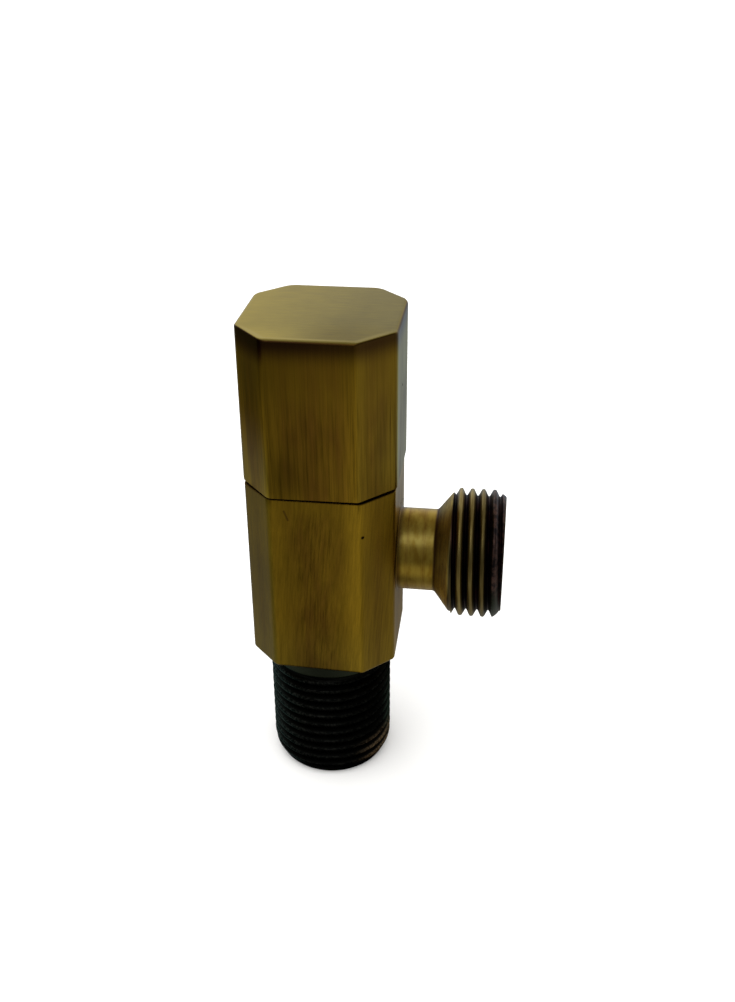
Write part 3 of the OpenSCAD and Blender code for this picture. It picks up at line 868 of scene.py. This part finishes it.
def body_side(mat, x, y, z, grain):
    """Colour of the barrel, with painted highlight, reflection and shadow, and the amount of brown on
    it.
    """
    fine, streak, _ = grain
    depth = edge_depth(mat, *octagon_depths(mat, x, y, BODY_HALF, BODY_CUT))
    edge, near = mat.ramp(depth, -0.75, -0.03), mat.ramp(depth, -2.4, -0.5)
    inner = mat.ramp(depth, -1.2, -4.6) * mat.ramp(z, BODY_TOP - 0.7, BODY_TOP - 3.4)
    brown = patina(mat, grain, near, keep=0.25, soft=0.20) * mat.blend(inner, 0.30, 1.0)
    side = mat.mix(brown, mat.mix(0.65, MIDTONE, BRIGHT), BROWN)
    # painted highlight along the upright edges
    side = mat.mix(near * 0.50, side, BRIGHT)
    side = mat.mix(edge * 0.55, side, BRIGHT)

    # painted reflection: lighter towards both sides, most of all on the right and low down, with a
    # painted highlight by the front right edge, and darker at mid height on the left
    across = mat.clip(x, 7.2)
    light = across * 0.016 + across * across * 0.0030 + 0.87
    light = light + mat.bell(x, centre=6.2, width=0.95) * 0.25
    low_right = mat.ramp(x, -2.0, 7.0, first=0.06, last=0.20)
    light = light + mat.ramp(z, BODY_LOW + 9.0, BODY_LOW + 1.0) * low_right
    side = mat.scale(side, light)
    # painted reflection: the front right chamfer darker, most of all lower down
    dim = mat.ramp(z, BODY_TOP - 1.0, BODY_TOP - 14.0, first=0.84, last=0.66)
    side = mat.scale(side, mat.blend(mat.facing(1, -1), 1.0, dim))
    to_left = mat.ramp(x, -1.0, -5.0, first=0.0, last=0.13)
    side = mat.scale(side, 1.0 - mat.bell(z, centre=41.0, width=5.5) * to_left)
    # painted reflection: the front left chamfer tinted and darker lower down
    left = mat.tint(side, 1.0, by=(0.78, 0.88, 0.75))
    left = mat.scale(left, mat.ramp(z, 50.0, 43.0, first=1.0, last=0.86))
    side = mat.mix(mat.facing(-1, -1), side, left)
    # painted reflection: bluer near the bottom
    side = mat.tint(side, mat.ramp(z, BODY_LOW + 12.0, BODY_LOW), by=(0.97, 1.03, 1.35))
    contrast = (fine - 0.5) * 2.3 + (streak - 0.5) * 0.6
    side = mat.scale(side, contrast * mat.blend(inner, 0.55, 1.1) + 1.0)
    # painted shadow along the upper rim, under the handle's overhang
    rim = mat.ramp(z, BODY_TOP - 0.22, BODY_TOP - 0.03)
    return mat.mix(rim * 0.5, side, UMBER), brown


def outlet_neck(mat, x, up, turned, blotch, cone):
    """Colour of the neck and the cone, with painted highlight, reflection and shade. up is the height
    above the outlet's axis.
    """
    stain = mat.ramp(blotch * 0.85 + turned * 0.15, 0.38, 0.66)
    neck = mat.mix(stain, *NECK_TONES)
    bands = mat.bell(x, BODY_HALF + 1.7, width=0.22) + mat.bell(x, BODY_HALF + 4.4, width=0.3)
    bands = bands * mat.ramp(turned, 0.35, 0.6, first=0.2, last=0.9)
    neck = mat.tint(neck, bands, by=(0.72, 0.62, 0.6))
    # painted reflection and highlight: lighter low down, a broad highlight band, and a paler
    # highlight tint above it
    neck = mat.scale(neck, mat.ramp(up, 3.2, -1.0, first=1.0, last=1.18))
    neck = mat.scale(neck, mat.bell(up, centre=2.9, width=0.9) * 0.42 + 1.0)
    neck = mat.tint(neck, mat.bell(up, centre=4.7, width=0.8), by=(0.86, 0.98, 1.7))
    # painted shade in the corner at the neck's foot
    foot = mat.ramp(x + turned * 0.5, BODY_HALF + 1.55, BODY_HALF + 0.40)
    neck = mat.mix(foot * 0.80, neck, UMBER)

    flare = mat.mix(mat.ramp(blotch * 0.5 + turned * 0.5, 0.38, 0.62), *CONE_TONES)
    # painted reflection: the cone lighter low down and darker high up
    lower = mat.ramp(up, 1.0, -6.0)
    flare = mat.scale(flare, lower * 0.30 + mat.ramp(up, 3.0, 7.0, first=0.86, last=0.60))
    # painted shade in the corner where the neck meets the cone
    cone_corner_shade = mat.ramp(x, NECK_X - 0.50, NECK_X - 0.05)
    cone_corner_shade = cone_corner_shade * mat.ramp(x + blotch * 0.6, NECK_X + 0.95, NECK_X + 0.25)
    # painted reflection: the cone darker near its foot and lighter towards the thread
    flare = mat.scale(flare, mat.ramp(x, NECK_X + 0.4, NECK_X + 2.2, first=0.74, last=1.20))
    flare = mat.mix(cone_corner_shade * (lower * -0.30 + 0.90), flare, CONE_CORNER_SHADE)
    return mat.mix(cone, neck, flare)


def body_outlet(mat, point, x, y, z):
    """The outlet's colour, and its masks and noises."""
    up = z - OUT_Z
    radius = mat.hypot(y, up)
    mask = mat.ramp(x, BODY_HALF + 0.10, BODY_HALF + 0.22, soft=False)
    angle = mat.math("ARCTAN2", up, y)
    cosine, sine = mat.math("COSINE", angle), mat.math("SINE", angle)
    turned = mat.noise(mat.vec(x * 9.0, cosine * 1.6, sine * 1.6), detail=4.0, rough=0.6)
    blotch = mat.noise(mat.vec(x * 0.9, cosine * 2.4, sine * 2.4), detail=3.0, rough=0.55)
    cone = mat.ramp(x, NECK_X - 0.35, NECK_X + 0.15)
    neck = outlet_neck(mat, x, up, turned, blotch, cone)

    # live is 0 on the darker turns next to the end face
    live = mat.ramp(x + blotch * 0.8, 27.55, 26.7)
    crest = mat.mix(mat.ramp(blotch + turned * 0.3, 0.40, 0.75), *CREST_TONES)
    crest = mat.scale(crest, mat.ramp(x, 21.5, 27.0, first=1.26, last=0.53, soft=False))
    valley = mat.mix(mat.ramp(blotch, 0.42, 0.62), *VALLEY_TONES)
    colour = mat.mix(mat.ramp(radius, 9.66, 10.18) * live, valley, crest)
    speck = mat.noise(point, scale=1.3, detail=4.0, rough=0.65)
    end = mat.mix(mat.ramp(speck, 0.38, 0.66), *END_TONES)
    end = mat.mix(mat.ramp(up, 1.0, -4.0), end, END_GREEN)
    colour = mat.mix(mat.ramp(radius, 9.1, 9.9) * (1.0 - live), colour, end)
    face = mat.ramp(x, END_X - 0.30, END_X - 0.08)
    rings = mat.noise(mat.vec(radius * 7.0, cosine * 0.5, sine * 0.5), detail=4.0, rough=0.65)
    face_colour = mat.mix(mat.ramp(rings * 0.7 + speck * 0.3, 0.36, 0.62), *FACE_TONES)
    colour = mat.mix(face, colour, face_colour)

    thread = mat.ramp(x, 20.35, 20.75)
    colour = mat.mix(thread, neck, colour)
    colour = mat.mix(mat.ramp(radius, 5.65, 5.45) * mask, colour, OUTLET_BORE_COLOUR)
    return SimpleNamespace(
        colour=colour, mask=mask, radius=radius, turned=turned, blotch=blotch,
        cone=cone, thread=thread, face=face, rings=rings,
    )  # fmt: skip


def body_inlet(mat, point, x, z, radius, not_outlet):
    """Inlet oxidised nearly black, with some grey and rust-brown on the crests; the grey carries
    painted highlight, lighter and bluer on the left, and a painted greenish reflection at the right
    edge.
    """
    below = mat.ramp(z, BODY_LOW + 0.06, BODY_LOW + 0.01, soft=False) * not_outlet
    mask = mat.math("LESS_THAN", radius, 10.95) * below
    oxide = mat.noise(point, scale=0.55, detail=4.0, rough=0.6)
    speck = mat.noise(point, scale=2.6, detail=4.0, rough=0.65)
    rust = mat.bell(x + oxide * 2.4, centre=9.9, width=1.3) * mat.ramp(z, 7.6, 4.4)
    rust = rust * mat.ramp(speck, 0.35, 0.6)
    crest = mat.mix(mat.ramp(speck, 0.42, 0.66), *INLET_CREST_TONES)
    # painted highlight and shade: crests lighter and bluer on the left, darker in the middle and on
    # the right
    left_dim = mat.ramp(x, -8.5, 1.0, first=0.85, last=0.34)
    crest = mat.scale(crest, left_dim * mat.ramp(x, 1.0, 6.0, first=1.0, last=0.70))
    crest = mat.tint(crest, mat.ramp(x, -2.0, -8.0), by=(0.85, 1.06, 1.08))
    # painted reflection: a greenish grey sheen on the crests at the right edge
    edge_reflection = mat.ramp(x, 9.5, 10.2) * mat.bell(z, centre=9.0, width=4.5)
    crest = mat.mix(edge_reflection, crest, INLET_EDGE_REFLECTION)
    crest = mat.mix(rust, crest, INLET_RUST)
    colour = mat.mix(mat.ramp(radius, 10.05, 10.38), mat.mix(oxide, *INLET_TONES), crest)
    collar = mat.ramp(z, 21.45, 21.65)
    colour = mat.mix(collar, colour, mat.mix(speck, *COLLAR_TONES))
    bore = mat.ramp(radius, 8.2, 7.9) * mat.math("LESS_THAN", z, 54.9)
    bore = bore * mat.ramp(z, -0.1, 0.05)
    colour = mat.mix(bore, colour, mat.mix(oxide, *BORE_TONES))
    return SimpleNamespace(colour=colour, mask=mask, speck=speck)


def body_material():
    mat = material("antique_brass_body")
    point = mat.object_mm()
    x, y, z = mat.split(point)
    grain = brushed(mat, x, y, z, tilt=-0.075, seed=21.7, along=0.11)
    fine, streak, _ = grain
    side, brown = body_side(mat, x, y, z, grain)
    out = body_outlet(mat, point, x, y, z)
    # painted shade on the flat round the neck's foot
    neck_foot_shade = mat.ramp(out.radius + out.blotch * 0.8, 8.0, 7.0)
    neck_foot_shade = neck_foot_shade * mat.ramp(x, BODY_HALF - 0.4, BODY_HALF - 0.05)
    side = mat.mix(neck_foot_shade * 0.6, side, UMBER)
    colour = mat.mix(out.mask, side, out.colour)
    radius = mat.hypot(x, y)
    inlet_zone = body_inlet(mat, point, x, z, radius, 1.0 - out.mask)
    colour = mat.mix(inlet_zone.mask, colour, inlet_zone.colour)
    chamber = mat.math("LESS_THAN", radius, 10.6) * mat.math("GREATER_THAN", z, BODY_LOW + 0.3)
    colour = mat.mix(chamber * (1.0 - out.mask), colour, CHAMBER_COLOUR)
    for pit in BODY_PITS:
        colour = mat.spot(point, colour, pit[:3], pit[3])
    # a short brown scratch near the upper left of the front
    for k in range(6):
        centre = (-4.75 + 0.11 * k, -BODY_HALF, 54.6 - 0.30 * k)
        colour = mat.spot(point, colour, centre, radius=0.15, amount=0.5, stain=UMBER)

    dark = mat.math("MAXIMUM", out.thread * out.mask, inlet_zone.mask)
    side_rough = fine * 0.14 + (brown * 0.08 + 0.27)
    rough = mat.blend(out.mask, side_rough, out.turned * 0.08 + 0.30)
    rough = mat.blend(dark, rough, inlet_zone.speck * 0.22 + 0.28)
    rough = mat.blend(out.cone * (1.0 - out.thread), rough, out.turned * 0.2 + 0.40)
    turning = mat.blend(out.face, out.turned, out.rings)
    relief = mat.blend(out.mask, fine * 0.7 + streak * 0.5, turning)
    relief = mat.blend(dark, relief, inlet_zone.speck)
    # the dark oxide dulls the inlet's reflections, and more towards the right as painted shade
    inlet_sheen = mat.mix(mat.ramp(x, -7.0, 0.0), (0.55, 0.68, 0.68), (0.16, 0.16, 0.16))
    sheen = mat.mix(inlet_zone.mask, WHITE, inlet_sheen)
    return mat.surface(colour, rough, mat.bump(relief, GRAIN_BUMP), sheen=sheen)


# ------------------------------------------------------------------ materials of the CAD parts
def machined_brass():
    """Plain brass with turning marks."""
    mat = material("machined_brass")
    point = mat.object_mm()
    x, y, z = mat.split(point)
    angle = mat.math("ARCTAN2", y, x)
    marks = mat.noise(mat.vec(z * 14.0, mat.hypot(x, y) * 14.0, angle), detail=3.0, rough=0.6)
    blotch = mat.noise(point, scale=0.6)
    colour = mat.mix(mat.ramp(blotch, 0.35, 0.7), (0.72, 0.53, 0.22), (0.58, 0.40, 0.15))
    colour = mat.scale(colour, marks * 0.25 + 0.85)
    rough = marks * 0.15 + (blotch * 0.1 + 0.16)
    return mat.surface(colour, rough, mat.bump(marks, distance=0.000015))


def steel(name, base, rough):
    mat = material(name)
    point = mat.object_mm()
    x, y, z = mat.split(point)
    marks = mat.noise(mat.vec(x * 6, y * 6, z * 16), detail=3.0, rough=0.6)
    cloud = mat.noise(point, scale=1.1)
    colour = mat.scale(base, marks * 0.3 + (cloud * 0.2 + 0.72))
    return mat.surface(colour, marks * 0.16 + rough, mat.bump(marks, distance=0.00001))


def plastic(name, base, rough):
    mat = material(name)
    point = mat.object_mm()
    grain = mat.noise(point, scale=9.0, rough=0.6)
    colour = mat.scale(base, mat.noise(point, scale=0.5) * 0.14 + 0.92)
    normal = mat.bump(grain, distance=0.000012, strength=0.4)
    return mat.surface(colour, grain * 0.16 + rough, normal, metallic=0.0)


def nitrile_rubber():
    mat = material("nitrile_rubber")
    point = mat.object_mm()
    grain = mat.noise(point, scale=7.0, detail=4.0, rough=0.65)
    cloud = mat.noise(point, scale=0.9, detail=2.0)
    colour = mat.mix(cloud, (0.010, 0.010, 0.011), (0.028, 0.028, 0.030))
    return mat.surface(colour, grain * 0.2 + 0.45, mat.bump(grain, GRAIN_BUMP), metallic=0.0)


def alumina_ceramic():
    mat = material("alumina_ceramic")
    point = mat.object_mm()
    grain = mat.noise(point, scale=11.0, detail=4.0, rough=0.7)
    cloud = mat.noise(point, scale=0.7, detail=2.0)
    colour = mat.mix(cloud, (0.80, 0.79, 0.75), (0.88, 0.87, 0.84))
    colour = mat.scale(colour, grain * 0.06 + 0.96)
    normal = mat.bump(grain, distance=0.000004, strength=0.4)
    return mat.surface(colour, grain * 0.12 + 0.12, normal, metallic=0.0)


PART_MATERIALS = {
    "machined_brass": machined_brass(),
    "black_oxide_steel": steel("black_oxide_steel", base=(0.035, 0.034, 0.036), rough=0.30),
    "stainless_steel": steel("stainless_steel", base=(0.58, 0.57, 0.55), rough=0.22),
    "nylon_white": plastic("nylon_white", base=(0.80, 0.78, 0.70), rough=0.35),
    "acetal_grey": plastic("acetal_grey", base=(0.46, 0.46, 0.45), rough=0.30),
    "nitrile_rubber": nitrile_rubber(),
    "alumina_ceramic": alumina_ceramic(),
}
for shell_object, build in ((body, body_material), (handle, handle_material)):
    shell_object.data.materials.clear()
    shell_object.data.materials.append(build())

# Width of each part's broken edges
EDGE_WIDTHS = {
    "bonnet": 0.07, "spindle": 0.08, "spline_adapter": 0.14, "guide_bush": 0.14,
    "lock_washer": 0.06, "circlip": 0.05, "stop_washer": 0.06, "slide_washer": 0.06,
    "thrust_washer": 0.08, "grub_screw": 0.05, "adapter_screw": 0.06, "moving_disc": 0.12,
    "fixed_disc": 0.12, "base_seal": 0.16, "seal_support_ring": 0.10,
}  # fmt: skip
OTHER_EDGE_WIDTH = 0.09
slot_names = {part["node"]: part["material_slot"] for part in frame["record"]["subparts"]}
for name, part in frame["nodes"].items():
    if slot_names[name] not in PART_MATERIALS:
        continue
    for slot in part.material_slots:
        slot.link = "OBJECT"
        slot.material = PART_MATERIALS[slot_names[name]]
    if "o_ring" not in name:
        bevel = part.modifiers.new("broken_edges", "BEVEL")
        bevel.limit_method, bevel.angle_limit = "ANGLE", math.radians(36)
        bevel.width = EDGE_WIDTHS.get(name, OTHER_EDGE_WIDTH) * MM
        bevel.segments, bevel.profile = 2, 0.5
        bevel.use_clamp_overlap, bevel.harden_normals = True, True


# ------------------------------------------------------------------ stage
def reflected_floor(mat, x, y, distance):
    """What the metal sees of the floor, painted as a glow: dim in front, dimmer far off, a painted
    shadow close by, bright behind.
    """
    far = mat.ramp(distance, 95.0, 215.0)
    right = mat.ramp(x + y * 0.3, -20.0, 90.0)
    level = 0.355 - far * mat.blend(right, 0.245, 0.03)
    left = mat.ramp(x, -125.0, -205.0) * mat.ramp(y, -90.0, -20.0)
    level = mat.math("SUBTRACT", level, left * 0.10, clamp=True)
    # painted shadow: darkest close in front of the valve
    level = level * mat.ramp(mat.hypot(x + 2.0, y + 24.0), 7.0, 27.0, first=0.03, last=1.0)
    behind = mat.ramp(y, 50.0, 120.0)
    level = level * mat.ramp(y, 8.0, 46.0, first=1.0, last=0.60) + behind * 0.275
    colour = mat.mix(behind, (1.0, 0.975, 0.90), (0.85, 1.0, 1.16))
    return mat.add("Emission", {"Color": colour, "Strength": level})


def floor_material():
    mat = material("pale_floor")
    position = mat.add("NewGeometry", output="Position")
    x, y, _ = mat.split(position)
    x, y = x * 1000.0, y * 1000.0
    distance = mat.hypot(x, y)
    mottled = mat.noise(position, scale=14.0)
    pale = mat.mix(mottled, (0.90, 0.90, 0.90), (0.925, 0.925, 0.92))
    diffuse = mat.add("BsdfDiffuse", {"Color": pale})
    # a glow keeps the floor as pale far away as it is close by
    is_camera = mat.add("LightPath", output="Is Camera Ray")
    strength = is_camera * mat.ramp(distance, 250.0, 1500.0)
    glow = mat.add("Emission", {"Color": WHITE, "Strength": strength})
    seen = mat.add("AddShader", [diffuse, glow])
    reflected = reflected_floor(mat, x, y, distance)
    is_glossy = is_camera.sibling("Is Glossy Ray")
    return mat.finish(mat.add("MixShader", [is_glossy, seen, reflected]))


def add_floor():
    bm = bmesh.new()
    bmesh.ops.create_grid(bm, x_segments=1, y_segments=1, size=6.0)
    mesh = bpy.data.meshes.new("floor")
    bm.to_mesh(mesh)
    bm.free()
    obj = new_object("floor", mesh)
    mesh.materials.append(floor_material())


def add_world():
    """Plain white to the camera. The metal sees a bright back wall and a soft overhead."""
    world = bpy.data.worlds.new("studio")
    bpy.context.scene.world = world
    sky = Nodes(world, "OutputWorld")
    x, y, z = sky.split(sky.add("TexCoord", output="Generated"))
    back = sky.ramp(y, 0.05, 0.6) * sky.ramp(z, 0.95, 0.35)
    side = sky.ramp(x, 0.55, -0.6, first=0.72, last=1.15)
    overhead = sky.ramp(z, 0.55, 0.95)
    level = back * side * 0.72 + 0.13 + overhead * 0.22
    is_camera = sky.add("LightPath", output="Is Camera Ray")
    strength = sky.blend(is_camera.sibling("Is Diffuse Ray"), level, 0.75)
    lit = sky.add("Background", {"Color": (1.0, 0.985, 0.95), "Strength": strength})
    seen = sky.add("Background", {"Color": (0.99, 0.99, 0.99), "Strength": 1.0})
    sky.finish(sky.add("MixShader", [is_camera, lit, seen]))


def add_area(name, direction, distance, size, power, glossy):
    """A square light in metres and watts, aimed at the valve from the given direction."""
    light = bpy.data.lights.new(name, "AREA")
    light.shape = "RECTANGLE"
    light.size = light.size_y = size
    light.energy = power
    obj = new_object(name, light)
    direction = Vector(direction).normalized()
    obj.location = Vector((0.003, 0, 0.04)) + direction * distance
    obj.rotation_mode = "QUATERNION"
    obj.rotation_quaternion = direction.to_track_quat("Z", "Y")
    obj.visible_glossy = glossy


def add_camera():
    azimuth, elevation, roll = 0.16205, 0.50009, -0.02090
    distance, target = 184.54713, np.array([1.6079, 0.0, 53.41381])
    camera = bpy.data.cameras.new("camera")
    obj = new_object("camera", camera)
    level = math.cos(elevation)
    back = np.array(
        [math.sin(azimuth) * level, -math.cos(azimuth) * level, math.sin(elevation)]
    )
    eye = target + back * distance
    right = np.cross(-back, [0, 0, 1])
    right /= np.linalg.norm(right)
    up = np.cross(right, -back)
    rolled_right = math.cos(roll) * right + math.sin(roll) * up
    rolled_up = -math.sin(roll) * right + math.cos(roll) * up
    rows = [[rolled_right[i], rolled_up[i], back[i], eye[i] * MM] for i in range(3)]
    obj.matrix_world = Matrix(rows + [[0, 0, 0, 1]])
    camera.sensor_width, camera.lens = 36, 40.7800646
    camera.shift_x, camera.shift_y = 0.0308921557, -0.0175473453
    camera.clip_start, camera.clip_end = 0.01, 50
    bpy.context.scene.camera = obj


add_floor()
add_world()
# a broad top light for the floor, unseen by the metal, and a softbox in front for highlights
add_area("top_fill", (-0.05, -0.15, 1.0), distance=1.5, size=2.6, power=40.0, glossy=False)
add_area("front_softbox", (-0.12, -0.56, 0.82), distance=0.75, size=0.34, power=0.29, glossy=True)
add_camera()
view = bpy.context.scene.view_settings
view.view_transform, view.look = "Standard", "None"
view.exposure, view.gamma = 0, 1
